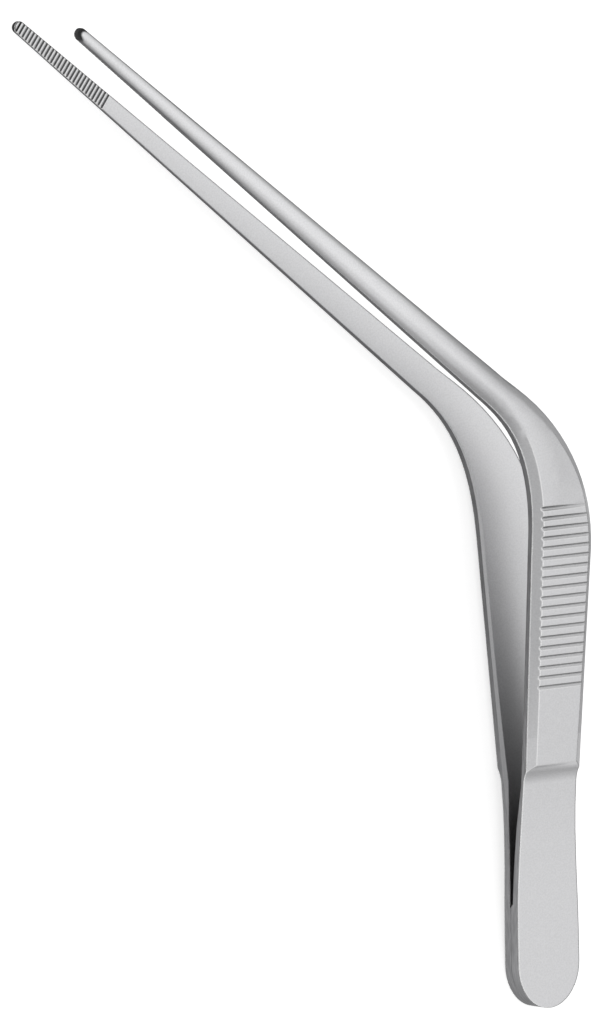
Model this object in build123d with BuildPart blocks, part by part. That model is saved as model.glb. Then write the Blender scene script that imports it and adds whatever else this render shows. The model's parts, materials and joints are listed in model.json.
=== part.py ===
"""Knee-bent ear forceps: two mirrored spring arms, welded together at the tail.

Each arm is drawn opened, in a working frame: the tail end is at the origin, +Y runs along
the handle to the knee, the jaw leans to -X, and +Z is the arm's outer side, with the middle
plane of the forceps at Z 0. The lower arm is the mirror image of the upper one below the
middle plane. The pair is then laid down as it rests on a table: on the lower arm's tail,
knee and tip.
"""

import math
import os

from build123d import *

os.makedirs("parts", exist_ok=True)

# Plan of one arm
crossing = 74.95          # tail end to the crossing of the handle and jaw centre lines
jaw_length = 101.0        # crossing to the tip
jaw_lean = 51.84          # angle of the jaw from the handle, degrees
knee_radius = 26.3        # bend of the centre line
tail_width = 10.2
tail_cap = 6.0            # length of the rounded tail end
tail_straight = 10.0      # station where the tail starts to narrow
waist_width = 8.9         # spring leaf, where it meets the grip
grip_width = 10.0         # grip, where the knee starts
root_width = 4.15         # jaw, where its even taper starts
tip_width = 1.65

# Side profile of one arm: a lift is the height of the inner face over the middle plane
slot_end = 13.8           # station where the leaves part
grip_start = 30.4         # station where the leaf becomes the grip
slot_lift = 0.32
grip_lift = 1.45
grip_slope = 0.118        # rise of the inner face in each millimetre, at the grip's start
knee_slope = 0.075        # the same, where the knee starts to level out
knee_run = 8.0            # length over which the knee levels out
leaf_thick = 1.2          # spring leaf at the end of the slot
leaf_thin = 1.0           # spring leaf at the grip
step_radius = 3.9         # hollow between the leaf and the grip's outer face
seam_drop = 0.18          # the seam of the tail lies this far below the middle plane

# Sections of the arm: thickness, height of the side face, and width of the outer bevels
grip_thickness = 2.2
root_thickness = 2.4
tip_thickness = 1.3
step_side = 1.5
grip_side = 1.2
root_side = 1.25
tip_side = 0.6
step_bevel = 1.12
grip_bevel = 1.15
step_edge = 0.45          # bevel along the inner edges, where the leaf meets the grip
grip_edge = 0.3           # the same, from the middle of the grip
bevel_run = 0.5           # share of the grip over which its bevels change
leaf_bevel_start = 24.5   # station where the inner edges of the leaf start to be bevelled
leaf_bevel_reach = 0.5    # its cutter stands this far out over the faces it meets
jaw_roundness = 0.95      # outer face of the jaw: 0 is bevelled and 1 is an arc
jaw_flank = 0.28          # share of the jaw's width that each flank of its round back takes

# Shallow facet on the outer face, along the outside of the knee, from the last finger groove
facet_slope = 0.065       # fall towards the outside of the knee
facet_start = -0.32       # its crease from the arm's middle, as a share of the half width
facet_end = 0.6           # the same, where the knee ends
facet_ramp = 0.25         # share of its length over which it comes to its full slope
facet_reach = 1.0         # the cutter stands this far out over the arm's side

# Finger grooves across the grip, and teeth across the inner face of the jaw
groove_count = 19
groove_pitch = 1.345
groove_last = 67.8        # station of the groove nearest the knee
groove_radius = 0.32
groove_depth = 0.15
tooth_count = 28
tooth_pitch = 0.655
tooth_margin = 0.55       # tip to the first tooth's groove
tooth_depth = 0.16

# Where the sections of the lofts lie, as shares of the grip and of the knee
grip_shares = (0, 0.1, 0.4, 0.7, 1)
knee_shares = (0.25, 0.5, 0.75, 1)
facet_shares = (0, 0.25, 0.5, 0.75, 1)
knee_blend = 0.15         # the knee's smooth loft starts before it and ends after it

# Search for the three feet on which the forceps rests
search_rounds = 8
search_tolerance = 0.02

# Stations are lengths from the tail end along the bent centre line
lean = math.radians(jaw_lean)
knee_tangent = knee_radius * math.tan(lean / 2)
knee_start = crossing - knee_tangent
knee_end = knee_start + knee_radius * lean
tip_station = knee_end + jaw_length - knee_tangent
tip_centre = tip_station - tip_width / 2
blend = (knee_end - knee_start) * knee_blend
grip_end = knee_start - blend
jaw_start = knee_end + blend
slope_end = knee_end - knee_run
tail_height = slot_lift + leaf_thick
edge_bevel = tooth_depth / 2
facet_station = groove_last - 2 * facet_reach
leaf_top = grip_lift + leaf_thin
tooth_side = tooth_depth * math.sqrt(2)
tooth_reach = 2 * root_width


def mix(start, end, share):
    """Value that lies the given share of the way from start to end."""
    return start + (end - start) * share


def eased(share):
    """Share of an S-shaped change, which starts and ends gently."""
    return share**2 * (3 - 2 * share)


def centre_point(station, height=0.0):
    """Point of the centre line at a station, at a height over the middle plane."""
    turned = min(max(station - knee_start, 0) / knee_radius, lean)
    handle = min(station, knee_start)
    jaw = max(station - knee_end, 0)
    x = -knee_radius * (1 - math.cos(turned)) - jaw * math.sin(lean)
    y = handle + knee_radius * math.sin(turned) + jaw * math.cos(lean)
    return Vector(x, y, height)


def across(station):
    """Direction across the arm in plan, towards the outside of the knee."""
    turned = min(max(station - knee_start, 0) / knee_radius, lean)
    return Vector(math.cos(turned), math.sin(turned))


def lift(station):
    """Height of the inner face over the middle plane, from the grip to the tip."""
    run = min(station, slope_end) - grip_start
    easing = (grip_slope - knee_slope) / (slope_end - grip_start)
    levelled = min(max(station - slope_end, 0), knee_run)
    sloped = grip_lift + grip_slope * run - easing * run**2 / 2
    return sloped + knee_slope * levelled * (1 - levelled / knee_run / 2)


def section_plane(station):
    """Plane across the arm: local X goes across it, and local Y to its outer side."""
    sideways = across(station)
    backwards = sideways.cross(Vector(0, 0, 1))
    return Plane(centre_point(station, lift(station)), sideways, backwards)


def crown_height(offset, width, side, thickness):
    """Height over the inner face of an arc from one side face over the crown to the other."""
    rise = thickness - side
    radius = (width**2 / 4 + rise**2) / (2 * rise)
    return thickness - radius + math.sqrt(radius**2 - offset**2)


def arm_section(station, width, side, thickness, bevel, edge, roundness):
    """Section of the arm: flat inside, and bevelled or round outside."""
    half = width / 2
    corners = [
        Vector(-half, side),
        Vector(bevel - half, thickness),
        Vector(half - bevel, thickness),
        Vector(half, side),
    ]

    def rounded(point):
        """Point of the outer face, moved towards the arc over the whole width."""
        arc_height = crown_height(point.X, width, side, thickness)
        return (point.X, mix(point.Y, arc_height, roundness))

    with BuildSketch(section_plane(station)) as section:
        with BuildLine():
            Line((-half, edge), corners[0])
            for start, end in zip(corners, corners[1:]):
                if roundness > 0:
                    ThreePointArc(rounded(start), rounded((start + end) / 2), rounded(end))
                else:
                    Line(start, end)
            Line(corners[-1], (half, edge))
            Line((half, edge), (half - edge, 0))
            Line((half - edge, 0), (edge - half, 0))
            Line((edge - half, 0), (-half, edge))
        make_face()
    return section.sketch


def grip_section(station):
    """Section of the grip: its bevels change over its first half."""
    share = (station - grip_start) / (knee_start - grip_start)
    widened = min(share / bevel_run, 1)
    width = mix(waist_width, grip_width, share)
    side = mix(step_side, grip_side, widened)
    bevel = mix(step_bevel, grip_bevel, widened)
    edge = mix(step_edge, grip_edge, widened)
    return arm_section(station, width, side, grip_thickness, bevel, edge, 0)


def knee_size(station):
    """Share of the knee's bend at a station, and the knee's width and thickness there."""
    share = (station - knee_start) / (knee_end - knee_start)
    narrowed = eased((station - knee_start) / (jaw_start - knee_start))
    width = mix(grip_width, root_width, narrowed)
    return share, width, mix(grip_thickness, root_thickness, share)


def knee_section(station):
    """Section of the knee, whose outer face turns from bevelled to round."""
    share, width, thickness = knee_size(station)
    side = mix(grip_side, root_side, share)
    bevel = mix(grip_bevel, root_width * jaw_flank, share)
    edge = mix(grip_edge, edge_bevel, share)
    roundness = jaw_roundness * share**2
    return arm_section(station, width, side, thickness, bevel, edge, roundness)


def facet_section(share):
    """Section of the wedge that cuts the facet, from its start to the end of the knee."""
    station = mix(facet_station, knee_end, share)
    _, width, thickness = knee_size(station)
    crease = mix(facet_start, facet_end, share) * width / 2
    reach = width / 2 + facet_reach
    fall = (reach - crease) * facet_slope * min(share / facet_ramp, 1)
    with BuildSketch(section_plane(station)) as section:
        with BuildLine():
            Polyline(
                (crease, thickness),
                (reach, thickness - fall),
                (reach, thickness + facet_reach),
                close=True,
            )
        make_face()
    return section.sketch


def jaw_section(station):
    """Section of the jaw, a flat inner face under a round back."""
    share = (station - jaw_start) / (tip_centre - jaw_start)
    width = mix(root_width, tip_width, share)
    side = mix(root_side, tip_side, share)
    thickness = mix(root_thickness, tip_thickness, share)
    flank = width * jaw_flank
    return arm_section(station, width, side, thickness, flank, edge_bevel, jaw_roundness)


# Bar of one arm: grip, knee and jaw, before it is milled
grip_stations = [mix(grip_start, grip_end, share) for share in grip_shares]
knee_sections = [grip_section(grip_end), grip_section(knee_start)]
knee_stations = [mix(knee_start, knee_end, share) for share in knee_shares]
knee_sections += [knee_section(station) for station in knee_stations]
knee_sections += [jaw_section(jaw_start)]

with BuildPart() as bar:
    loft([grip_section(station) for station in grip_stations], ruled=True)
    loft(knee_sections)
    loft([jaw_section(jaw_start), jaw_section(tip_centre)], ruled=True)

# Wedge that cuts the facet, from the last finger groove on
with BuildPart() as facet:
    loft([facet_section(share) for share in facet_shares])
    split(bisect_by=Plane.XZ.offset(-groove_last), keep=Keep.BOTTOM)

# Rounded tip: half of the last section, turned about its own middle
tip_origin = centre_point(tip_centre)
tip_middle = Plane(tip_origin, z_dir=across(tip_centre))
tip_half = split(jaw_section(tip_centre), bisect_by=tip_middle, mode=Mode.PRIVATE)
with BuildPart() as tip:
    revolve(tip_half, axis=Axis(tip_origin, (0, 0, 1)), revolution_arc=180)

# Hollow that thins the grip down to the spring leaf
with BuildPart() as hollow:
    with BuildSketch(Plane.YZ):
        with BuildLine():
            floor = JernArc((grip_start, leaf_top), (1, grip_slope), step_radius, 90)
            Polyline(
                floor @ 1,
                (grip_start, leaf_top + step_radius),
                floor @ 0,
            )
        make_face()
    extrude(amount=tail_width, both=True)

groove_stations = [groove_last - groove_pitch * number for number in range(groove_count)]
tooth_stations = [
    tip_station - tooth_margin - tooth_pitch * number for number in range(tooth_count)
]
groove_places = [
    Location((0, station, lift(station) + grip_thickness + groove_radius - groove_depth))
    for station in groove_stations
]
tooth_places = [section_plane(station).location for station in tooth_stations]

with BuildPart() as worked_bar:
    add(bar.part)
    add(tip.part)
    add(hollow.part, mode=Mode.SUBTRACT)
    add(facet.part, mode=Mode.SUBTRACT)
    with Locations(groove_places):
        Cylinder(groove_radius, tail_width, rotation=(0, 90, 0), mode=Mode.SUBTRACT)
    with Locations(tooth_places):
        Box(tooth_reach, tooth_side, tooth_side, rotation=(45, 0, 0), mode=Mode.SUBTRACT)


def leaf_bevel_section(station, size):
    """Section of the cutter that bevels an inner edge of the leaf."""
    back = grip_start - station
    length = grip_start - slot_end
    bow = (slot_lift - grip_lift + grip_slope * length) / length**2
    inner_face = grip_lift - grip_slope * back + bow * back**2
    narrowed = eased((station - tail_straight) / (grip_start - tail_straight))
    half = mix(tail_width, waist_width, narrowed) / 2
    level = Plane((half, station, inner_face), x_dir=(1, 0, 0), z_dir=(0, -1, 0))
    with BuildSketch(level) as section:
        with BuildLine():
            Polyline(
                (-size - leaf_bevel_reach, -leaf_bevel_reach),
                (leaf_bevel_reach, size + leaf_bevel_reach),
                (leaf_bevel_reach, -leaf_bevel_reach),
                close=True,
            )
        make_face()
    return section.sketch


with BuildPart() as leaf_bevels:
    loft([leaf_bevel_section(leaf_bevel_start, 0), leaf_bevel_section(grip_start, step_edge)])
    mirror(about=Plane.YZ)

# Plan and side profile of the spring leaf with its tail
with BuildSketch() as leaf_plan:
    with BuildLine():
        cap = EllipticalCenterArc((0, tail_cap), tail_width / 2, tail_cap, 270, arc_size=90)
        straight = Line(cap @ 1, (tail_width / 2, tail_straight))
        narrowing = Spline(
            straight @ 1, (waist_width / 2, grip_start), tangents=[(0, 1), (0, 1)]
        )
        Polyline(
            narrowing @ 1,
            (waist_width / 2, grip_start + tail_cap),
            (0, grip_start + tail_cap),
            cap @ 0,
        )
    make_face()
    mirror(about=Plane.YZ)
with BuildPart() as leaf_block:
    extrude(leaf_plan.sketch, amount=tail_width, both=True)


def leaf_profile(seat, bevel):
    """Side profile of the leaf and tail, whose welded face is at the given height."""
    with BuildSketch(Plane.YZ) as profile:
        with BuildLine():
            Polyline((-tail_cap, tail_height), (-tail_cap, seat), (slot_end, seat))
            Line((slot_end, seat), (slot_end + bevel, slot_lift))
            TangentArc(
                (grip_start, grip_lift),
                (slot_end + bevel, slot_lift),
                tangent=(-1, -grip_slope),
            )
            Line((grip_start, grip_lift), (grip_start, leaf_top))
            TangentArc((slot_end, tail_height), (grip_start, leaf_top), tangent=(1, 0))
            Line((slot_end, tail_height), (-tail_cap, tail_height))
        make_face()
    return profile.sketch


# The upper tail is the thicker one, and its welded face ends in a bevel at the slot
with BuildPart() as upper_forging:
    extrude(leaf_profile(-seam_drop, slot_lift + seam_drop), amount=tail_width, both=True)
    add(leaf_block.part, mode=Mode.INTERSECT)
    add(leaf_bevels.part, mode=Mode.SUBTRACT)
    add(worked_bar.part)

with BuildPart() as lower_forging:
    extrude(leaf_profile(seam_drop, 0), amount=tail_width, both=True)
    add(leaf_block.part, mode=Mode.INTERSECT)
    add(leaf_bevels.part, mode=Mode.SUBTRACT)
    add(worked_bar.part)


# Resting on a table: the three feet are searched on the outer side of an arm
knee_top = centre_point(knee_end).Y
surface_points = upper_forging.part.tessellate(search_tolerance)[0]
foot_groups = [
    [point for point in surface_points if point.Y < slot_end],
    [point for point in surface_points if grip_start < point.Y < knee_top],
    [point for point in surface_points if point.Y > knee_top],
]
outward = Vector(0, 0, 1)
for _ in range(search_rounds):
    feet = [max(group, key=outward.dot) for group in foot_groups]
    outward = (feet[2] - feet[0]).cross(feet[1] - feet[0]).normalized()
    outward = outward * math.copysign(1, outward.Z)

table_up = Vector(-outward.X, -outward.Y, outward.Z)
table = Plane((0, 0, 0), x_dir=Vector(0, 1, 0).cross(table_up), z_dir=table_up)
lower_laid = table.to_local_coords(mirror(lower_forging.part, about=Plane.XY))
upper_laid = table.to_local_coords(upper_forging.part)
laid_box = Compound(children=[lower_laid, upper_laid]).bounding_box()
centring = Location((-laid_box.center().X, -laid_box.center().Y, -laid_box.min.Z))

with BuildPart() as lower_arm:
    add(centring * lower_laid)
with BuildPart() as upper_arm:
    add(centring * upper_laid)

lower_arm.part.label = "lower_arm"
export_step(lower_arm.part, "parts/lower_arm.step")
upper_arm.part.label = "upper_arm"
export_step(upper_arm.part, "parts/upper_arm.step")
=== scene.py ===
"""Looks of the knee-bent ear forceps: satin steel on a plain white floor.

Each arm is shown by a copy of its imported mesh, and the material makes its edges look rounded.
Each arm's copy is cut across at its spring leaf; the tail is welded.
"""

import json
import math

import bmesh
import bpy
from mathutils import Matrix, Vector


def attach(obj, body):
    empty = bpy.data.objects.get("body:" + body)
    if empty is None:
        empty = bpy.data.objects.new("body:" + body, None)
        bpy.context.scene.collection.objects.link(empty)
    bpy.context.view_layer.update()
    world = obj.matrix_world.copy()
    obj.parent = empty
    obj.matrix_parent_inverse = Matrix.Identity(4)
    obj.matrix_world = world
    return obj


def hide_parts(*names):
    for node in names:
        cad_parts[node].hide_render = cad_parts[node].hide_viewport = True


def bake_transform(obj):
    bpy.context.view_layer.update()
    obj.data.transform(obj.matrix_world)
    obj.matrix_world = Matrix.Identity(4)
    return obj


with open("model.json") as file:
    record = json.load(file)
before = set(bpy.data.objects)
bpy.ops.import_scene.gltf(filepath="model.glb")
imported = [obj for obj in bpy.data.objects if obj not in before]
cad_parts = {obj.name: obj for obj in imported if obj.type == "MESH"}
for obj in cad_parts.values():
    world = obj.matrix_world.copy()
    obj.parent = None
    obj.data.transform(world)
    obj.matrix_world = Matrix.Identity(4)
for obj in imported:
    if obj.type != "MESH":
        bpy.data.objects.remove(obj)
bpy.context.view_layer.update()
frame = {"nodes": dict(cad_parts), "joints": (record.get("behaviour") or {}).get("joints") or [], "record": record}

# Directions of the forceps, as the record gives them
squeeze = frame["joints"][0]
mounts = {mount["name"]: mount for mount in frame["record"]["mounts"]}
hinge = Vector(squeeze["pos_m"])
across = -Vector(squeeze["axis"]).normalized()        # towards the outside of the knee
outward = Vector(mounts["upper_tail_face"]["axis"]).normalized()
along = outward.cross(across)                         # from the tail to the knee

# Camera, turned from the forceps' outer side to its left
view_turn = math.radians(37.5)
view_lift = math.radians(6.79)
view_roll = math.radians(1.19)
camera_distance = 3.3333
picture_height = 0.13527
sensor_height = 24.0
aim_across = -0.03786
aim_along = 0.05601
aim_outward = 0.00018


def forceps_direction(x, y, z):
    """Direction given across, along and outward of the forceps."""
    return (across * x + along * y + outward * z).normalized()


def add_camera():
    """Camera at the photograph's viewing angle, and the point that it looks at."""
    side = forceps_direction(math.cos(view_turn), 0, math.sin(view_turn))
    back = forceps_direction(
        -math.sin(view_turn) * math.cos(view_lift),
        math.sin(view_lift),
        math.cos(view_turn) * math.cos(view_lift),
    )
    top = back.cross(side)
    right = side * math.cos(view_roll) - top * math.sin(view_roll)
    up = side * math.sin(view_roll) + top * math.cos(view_roll)
    aim = hinge + across * aim_across + along * aim_along + outward * aim_outward
    data = bpy.data.cameras.new("camera")
    data.sensor_fit = "VERTICAL"
    data.sensor_height = sensor_height
    data.lens = sensor_height * camera_distance / picture_height
    camera = bpy.data.objects.new("camera", data)
    turn = Matrix((right, up, back)).transposed().to_4x4()
    camera.matrix_world = Matrix.Translation(aim + back * camera_distance) @ turn
    bpy.context.scene.collection.objects.link(camera)
    bpy.context.scene.camera = camera
    return aim


aim = add_camera()


class Graph:
    """Short ways to add and join the nodes of one tree."""

    def __init__(self, tree):
        self.nodes = tree.nodes
        self.links = tree.links

    def put(self, value, socket):
        """A number, a colour or another node's output into a socket."""
        if isinstance(value, bpy.types.NodeSocket):
            self.links.new(value, socket)
        else:
            socket.default_value = value

    def math(self, operation, first, second):
        node = self.nodes.new("ShaderNodeMath")
        node.operation = operation
        self.put(first, node.inputs[0])
        self.put(second, node.inputs[1])
        return node.outputs[0]

    def product(self, first, *others):
        for other in others:
            first = self.math("MULTIPLY", first, other)
        return first

    def most(self, first, *others):
        for other in others:
            first = self.math("MAXIMUM", first, other)
        return first

    def band(self, value, low, high):
        """1 where a value lies between two levels."""
        return self.product(
            self.math("GREATER_THAN", value, low),
            self.math("LESS_THAN", value, high),
        )

    def dot(self, first, second):
        node = self.nodes.new("ShaderNodeVectorMath")
        node.operation = "DOT_PRODUCT"
        self.put(first, node.inputs[0])
        self.put(second, node.inputs[1])
        return node.outputs["Value"]

    def ramp(self, value, low, high, to_low=0.0, to_high=1.0):
        """Smooth step of a value between two levels."""
        node = self.nodes.new("ShaderNodeMapRange")
        node.interpolation_type = "SMOOTHSTEP"
        self.put(value, node.inputs["Value"])
        self.put(low, node.inputs["From Min"])
        self.put(high, node.inputs["From Max"])
        self.put(to_low, node.inputs["To Min"])
        self.put(to_high, node.inputs["To Max"])
        return node.outputs["Result"]

    def between(self, part, first, second):
        """Number that goes smoothly from the first to the second with a part."""
        return self.ramp(part, 0.0, 1.0, first, second)

    def blend(self, part, first, second):
        """Colour that goes from the first to the second with a part."""
        node = self.nodes.new("ShaderNodeMix")
        node.data_type = "RGBA"
        # Sockets for colours, which share their names with those for numbers
        first_socket, second_socket = node.inputs[6], node.inputs[7]
        self.put(part, node.inputs["Factor"])
        self.put(first, first_socket)
        self.put(second, second_socket)
        return node.outputs[2]

    def scaled(self, colour, level):
        """Colour times a level."""
        node = self.nodes.new("ShaderNodeVectorMath")
        node.operation = "SCALE"
        if not isinstance(colour, bpy.types.NodeSocket):
            colour = colour[:3]
        self.put(colour, node.inputs[0])
        self.put(level, node.inputs["Scale"])
        return node.outputs[0]

    def noise(self, vector, scale):
        node = self.nodes.new("ShaderNodeTexNoise")
        self.put(vector, node.inputs["Vector"])
        self.put(scale, node.inputs["Scale"])
        self.put(noise_detail, node.inputs["Detail"])
        return node.outputs["Fac"]


def new_material(name):
    """Empty node material, and the socket of its output that takes the shader."""
    material = bpy.data.materials.new(name)
    material.use_nodes = True
    nodes = material.node_tree.nodes
    nodes.clear()
    return material, nodes.new("ShaderNodeOutputMaterial").inputs["Surface"]


# Floor: white to the camera and in the steel, and still darker in the forceps' shadow
floor_size = 3.0
floor_colour = (0.6, 0.6, 0.6, 1)
floor_glow = 0.7
first_bounce = 1.5                # ray depths below this are the first reflection


def floor_material():
    """Pale floor that glows where the camera or the steel looks at it."""
    material, surface = new_material("floor_white")
    graph = Graph(material.node_tree)
    diffuse = graph.nodes.new("ShaderNodeBsdfDiffuse")
    diffuse.inputs["Color"].default_value = floor_colour
    ray = graph.nodes.new("ShaderNodeLightPath").outputs
    is_first = graph.math("LESS_THAN", ray["Ray Depth"], first_bounce)
    mirrored = graph.product(ray["Is Glossy Ray"], is_first)
    seen = graph.most(ray["Is Camera Ray"], ray["Is Transmission Ray"], mirrored)
    glow = graph.nodes.new("ShaderNodeEmission")
    graph.put(graph.product(seen, floor_glow), glow.inputs["Strength"])
    both = graph.nodes.new("ShaderNodeAddShader")
    graph.put(diffuse.outputs[0], both.inputs[0])
    graph.put(glow.outputs[0], both.inputs[1])
    graph.put(both.outputs[0], surface)
    return material


def add_floor():
    mesh = bpy.data.meshes.new("floor")
    half = floor_size / 2
    mesh.from_pydata(
        [(-half, -half, 0), (half, -half, 0), (half, half, 0), (-half, half, 0)],
        [],
        [(0, 1, 2, 3)],
    )
    mesh.materials.append(floor_material())
    floor = bpy.data.objects.new("floor", mesh)
    bpy.context.scene.collection.objects.link(floor)


add_floor()

# Light: a large soft box above the forceps' outer side, and a sky that is brighter overhead
key_direction = forceps_direction(0.42, -0.2, 0.9)
key_distance = 0.9
key_size = 0.5
key_radiance = 0.25
sky_heights = (0.2, 0.8)          # on a sphere of radius 1
sky_levels = (0.5, 0.93)


def add_key_light():
    """Square area light that faces the forceps."""
    data = bpy.data.lights.new("key_light", "AREA")
    data.shape = "SQUARE"
    data.size = key_size
    data.energy = key_radiance * math.pi * key_size**2
    lamp = bpy.data.objects.new("key_light", data)
    lamp.rotation_euler = (-key_direction).to_track_quat("-Z", "Y").to_euler()
    lamp.location = aim + key_direction * key_distance
    bpy.context.scene.collection.objects.link(lamp)


def add_sky():
    world = bpy.data.worlds.new("world")
    world.use_nodes = True
    graph = Graph(world.node_tree)
    surround = graph.nodes["Background"]
    surround.inputs["Color"].default_value = (1, 1, 1, 1)
    axes = graph.nodes.new("ShaderNodeSeparateXYZ")
    graph.put(graph.nodes.new("ShaderNodeTexCoord").outputs["Generated"], axes.inputs[0])
    level = graph.ramp(axes.outputs["Z"], *sky_heights, *sky_levels)
    graph.put(level, surround.inputs["Strength"])
    bpy.context.scene.world = world


add_key_light()
add_sky()
bpy.context.scene.view_settings.view_transform = "Standard"

# Satin steel: broad faces are blasted, side faces are ground along their length and darkened by painted shade
face_colour = (0.62, 0.62, 0.63, 1)
# Painted light: the jaws' outer faces and the inner faces get lighter copies of the steel's colour
lit_jaw_colour = (0.86, 0.86, 0.87, 1)
lit_inner_colour = (0.715, 0.715, 0.725, 1)
grazing_colour = (0.5, 0.5, 0.5, 1)
# Painted shade: the side faces' dark colour stands in for the dark surroundings that they reflect
side_shade_colour = (0.22, 0.22, 0.225, 1)
# Bright edge colour: partly wear, partly painted highlight; dark edge colour: painted shade
worn_highlight_colour = (0.96, 0.96, 0.96, 1)
edge_shade_colour = (0.2, 0.2, 0.2, 1)
# Painted shade in the grooves and on the teeth's flanks
crevice_shade_colour = (0.03, 0.03, 0.03, 1)
face_roughness = 0.34
side_roughness = 0.45
jaw_roughness = 0.58
inner_roughness = 0.38
edge_radius = 0.00026
crevice_depth = 0.0005
shader_samples = 6

# Stretches of an arm: along the handle and across the forceps from the hinge, and from the tip
step_stretch = (0.012, 0.023)
groove_stretch = (0.023, 0.06)
knee_fade = (0.0575, 0.0535)
slot_shade_fade = (0.0, 0.06)
side_shade_fade = (0.0, 0.045)
jaw_fade = (-0.012, -0.03)
tooth_reach = 0.0185
tip_fade = (0.0018, 0.0006)
jaw_lean = math.radians(51.84)
jaw_direction = forceps_direction(-math.sin(jaw_lean), math.cos(jaw_lean), 0)

# Smooth steps between surfaces, as the part of a normal that points in a direction
right_turn = (-0.1, 0.35)         # across the forceps
inner_turn = (0.3, 0.6)
face_start = 0.35                 # where a side face starts to become a broad one
face_full = 0.93
right_steepness = 0.4             # share of the tip's further steepness on the right
tip_steepness = 0.42
full_steepness = 0.1              # share of it at the full face
groove_turn = (0.3, -0.3)         # along the handle
tooth_turn = (0.15, 0.4)          # along the jaw
tooth_inner_turn = (0.2, 0.4)
outer_edge_turn = (0.1, 0.3)
inner_edge_turn = (0.03, 0.15)
edge_match = (0.998, 0.95)        # match of the rounded normal and the true one
crevice_light = (0.98, 0.75)

# Levels of light and dark
slot_shade_level = 0.48
side_shade_levels = (1.15, 0.68)        # at the hinge and on the jaw
tip_shade_level = 0.3
groove_level = 0.25               # share of the crevice shade on flanks that face the knee
tooth_level = 0.85                # the same, on the teeth's flanks
noise_range = (0.3, 0.7)
noise_detail = 3.0
grain_scale = 4500.0
grain_levels = (0.95, 1.05)
streak_scale = 500.0
streak_stretch = 11.0
streak_levels = (0.85, 1.15)
bump_strength = 0.12
bump_distance = 0.00002


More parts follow.
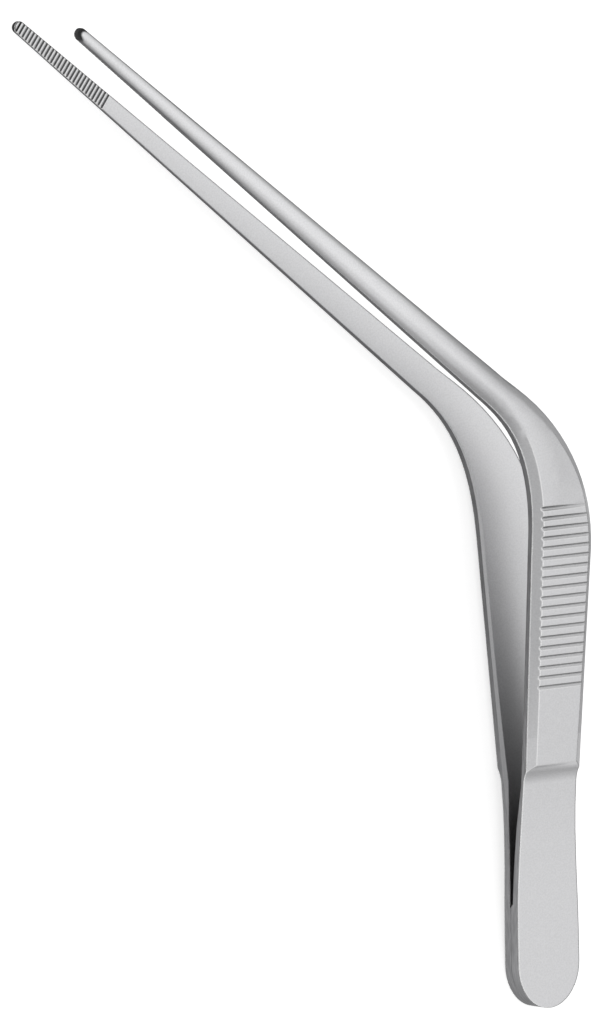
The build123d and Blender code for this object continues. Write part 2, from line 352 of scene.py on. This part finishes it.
class Steel(Graph):
    """Steel of one arm, whose inner face looks in the given direction."""

    def __init__(self, name, inner):
        self.material, surface = new_material(name + "_steel")
        super().__init__(self.material.node_tree)
        coordinates = self.nodes.new("ShaderNodeTexCoord").outputs
        self.place = coordinates["Object"]
        self.normal = coordinates["Normal"]
        bevel = self.nodes.new("ShaderNodeBevel")
        bevel.samples = shader_samples
        bevel.inputs["Radius"].default_value = edge_radius
        self.rounded = bevel.outputs["Normal"]
        self.find_stretches(frame["nodes"][name].data)
        self.find_faces(inner)
        self.find_crevice_shade()
        self.find_edge_highlight_and_shade()
        self.grain = self.noise(self.place, grain_scale)
        self.fine = self.ramp(self.grain, *noise_range, *grain_levels)
        shader = self.nodes.new("ShaderNodeBsdfPrincipled")
        shader.inputs["Metallic"].default_value = 1.0
        shader.inputs["Specular Tint"].default_value = grazing_colour
        self.put(self.colour(), shader.inputs["Base Color"])
        self.put(self.roughness(), shader.inputs["Roughness"])
        self.put(self.rough_normal(), shader.inputs["Normal"])
        self.put(shader.outputs[0], surface)

    def from_hinge(self, direction):
        """Distance from the hinge in a direction."""
        return self.math("SUBTRACT", self.dot(self.place, direction), hinge.dot(direction))

    def find_stretches(self, mesh):
        """Where a point lies on the arm."""
        tip = max(jaw_direction.dot(point.co) for point in mesh.vertices)
        from_tip = self.math("SUBTRACT", tip, self.dot(self.place, jaw_direction))
        self.reach = self.from_hinge(along)
        self.on_jaw = self.ramp(self.from_hinge(across), *jaw_fade)
        self.on_teeth = self.math("LESS_THAN", from_tip, tooth_reach)
        self.at_tip = self.ramp(from_tip, *tip_fade)
        self.on_grooves = self.band(self.reach, *groove_stretch)
        self.before_knee = self.ramp(self.reach, *knee_fade)

    def find_faces(self, inner):
        """Which of the arm's surfaces a point lies on."""
        self.turned = self.dot(self.normal, along)
        self.turned_right = self.dot(self.rounded, across)
        self.to_right = self.ramp(self.turned_right, *right_turn)
        self.inner_part = self.dot(self.normal, inner)
        self.outer_part = self.product(self.dot(self.rounded, inner), -1.0)
        self.is_inner = self.ramp(self.inner_part, *inner_turn)

        # The step's hollow and the grooves' flanks count as broad faces
        on_step = self.band(self.reach, *step_stretch)
        hollow = self.product(on_step, self.most(self.product(self.turned, -1.0), 0.0))
        lifted = self.product(self.on_grooves, self.before_knee, self.most(self.turned, 0.0))
        milled = self.math("ADD", hollow, lifted)
        broad = self.most(self.math("ADD", self.outer_part, milled), self.inner_part)
        # Right-facing surfaces and the tip turn to the dark side colour sooner, as more painted shade
        right_part = self.product(self.to_right, right_steepness)
        steeper = self.product(self.most(right_part, self.at_tip), tip_steepness)
        self.is_face = self.ramp(
            broad,
            self.math("ADD", steeper, face_start),
            self.math("ADD", self.product(steeper, full_steepness), face_full),
        )

    def find_crevice_shade(self):
        """Painted shade in the finger grooves, where occluded and most on flanks facing the tail, and on the
        teeth's flanks that face the tip.
        """
        occlusion = self.nodes.new("ShaderNodeAmbientOcclusion")
        occlusion.samples = shader_samples
        occlusion.inputs["Distance"].default_value = crevice_depth
        self.is_deep = self.ramp(occlusion.outputs["AO"], *crevice_light)
        shaded = self.ramp(self.turned, *groove_turn, groove_level, 1.0)
        groove = self.product(self.is_deep, shaded, self.on_grooves)
        tooth = self.product(
            self.ramp(self.dot(self.normal, jaw_direction), *tooth_turn, 0.0, tooth_level),
            self.ramp(self.inner_part, *tooth_inner_turn),
            self.on_teeth,
        )
        self.is_crevice_shade = self.most(groove, tooth)

    def find_edge_highlight_and_shade(self):
        """Outer edges and tooth crests brightened partly as wear and partly as painted highlight, and painted
        shade on edges that face right and on inner edges past the grip.
        """
        surface = self.nodes.new("ShaderNodeNewGeometry").outputs
        is_edge = self.ramp(self.dot(self.rounded, surface["Normal"]), *edge_match)
        outer_edge = self.ramp(self.outer_part, *outer_edge_turn)
        inner_edge = self.product(
            self.math("SUBTRACT", 1.0, self.before_knee),
            self.ramp(self.turned_right, *inner_edge_turn),
            self.is_inner,
        )
        self.is_edge_highlight_and_shade = self.product(
            is_edge,
            self.math("SUBTRACT", 1.0, self.is_deep),
            self.most(outer_edge, self.on_teeth, inner_edge),
        )
        edge_shade_part = self.most(self.to_right, inner_edge)
        self.edge_highlight_and_shade = self.blend(edge_shade_part, worn_highlight_colour, edge_shade_colour)

    def streaks(self):
        """Level of the grinding marks, long and narrow on the side faces."""
        place = self.nodes.new("ShaderNodeCombineXYZ")
        self.put(self.dot(self.place, across), place.inputs[0])
        self.put(self.dot(self.place, along), place.inputs[1])
        self.put(self.product(self.dot(self.place, outward), streak_stretch), place.inputs[2])
        streak = self.noise(place.outputs[0], streak_scale)
        return self.ramp(streak, *noise_range, *streak_levels)

    def colour(self):
        # Painted shade on the inner faces, darker towards the hinge where the gap between the arms narrows
        slot_shade_part = self.ramp(self.reach, *slot_shade_fade, slot_shade_level, 1.0)
        # Painted light: lighter steel colour on the inner faces and on the jaws' outer faces
        inner_face = self.scaled(lit_inner_colour, self.product(slot_shade_part, self.fine))
        outer_face = self.scaled(self.blend(self.on_jaw, face_colour, lit_jaw_colour), self.fine)
        # Painted shade on the side faces, deepening towards the jaw and most at the tip, times the grinding
        # streaks
        side_shade_level = self.product(
            self.between(self.at_tip, 1.0, tip_shade_level),
            self.ramp(self.reach, *side_shade_fade, *side_shade_levels),
            self.streaks(),
        )
        broad_face = self.blend(self.is_inner, outer_face, inner_face)
        colour = self.blend(self.is_face, self.scaled(side_shade_colour, side_shade_level), broad_face)
        # Painted highlight, partly wear, and painted shade along the edges
        colour = self.blend(self.is_edge_highlight_and_shade, colour, self.edge_highlight_and_shade)
        # Painted shade in the grooves and on the teeth's flanks
        return self.blend(self.is_crevice_shade, colour, crevice_shade_colour)

    def roughness(self):
        outer = self.between(self.on_jaw, face_roughness, jaw_roughness)
        broad = self.between(self.is_inner, outer, inner_roughness)
        return self.product(self.between(self.is_face, side_roughness, broad), self.fine)

    def rough_normal(self):
        """Rounded normal with the grain's fine bumps."""
        bump = self.nodes.new("ShaderNodeBump")
        bump.inputs["Strength"].default_value = bump_strength
        bump.inputs["Distance"].default_value = bump_distance
        self.put(self.grain, bump.inputs["Height"])
        self.put(self.rounded, bump.inputs["Normal"])
        return bump.outputs["Normal"]


steels = {
    "lower_arm": Steel("lower_arm", outward).material,
    "upper_arm": Steel("upper_arm", -outward).material,
}

# Arms: the leaf is cut across so that it can bend
merge_distance = 2e-6
edge_angle = math.radians(24)
leaf_length = 0.0166
leaf_cuts = 8


def arm_mesh(node):
    """Copy of a node's mesh, with its vertices merged and its leaf cut across."""
    work = bmesh.new()
    work.from_mesh(node.data)
    bmesh.ops.remove_doubles(work, verts=work.verts, dist=merge_distance)
    for cut in range(1, leaf_cuts):
        bmesh.ops.bisect_plane(
            work,
            geom=work.verts[:] + work.edges[:] + work.faces[:],
            plane_co=hinge + along * (leaf_length * cut / leaf_cuts),
            plane_no=along,
        )
    mesh = bpy.data.meshes.new(node.name + "_shown")
    work.verts.index_update()
    corners = [[corner.index for corner in face.verts] for face in work.faces]
    mesh.from_pydata([point.co for point in work.verts], [], corners)
    work.free()
    return mesh


def mark_edges(mesh):
    """Smooth shading between the sharp edges."""
    mesh.shade_smooth()
    work = bmesh.new()
    work.from_mesh(mesh)
    for edge in work.edges:
        if len(edge.link_faces) == 2 and edge.calc_face_angle(0) > edge_angle:
            edge.smooth = False
    work.to_mesh(mesh)
    work.free()


def show_arm(name):
    """Piece that stands for an arm's node."""
    mesh = arm_mesh(frame["nodes"][name])
    mark_edges(mesh)
    mesh.materials.append(steels[name])
    piece = bpy.data.objects.new(name + "_shown", mesh)
    bpy.context.scene.collection.objects.link(piece)
    shading = piece.modifiers.new("shading", "WEIGHTED_NORMAL")
    shading.keep_sharp = True
    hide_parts(name)
    return piece


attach(show_arm("lower_arm"), "lower_arm")
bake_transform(show_arm("upper_arm"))
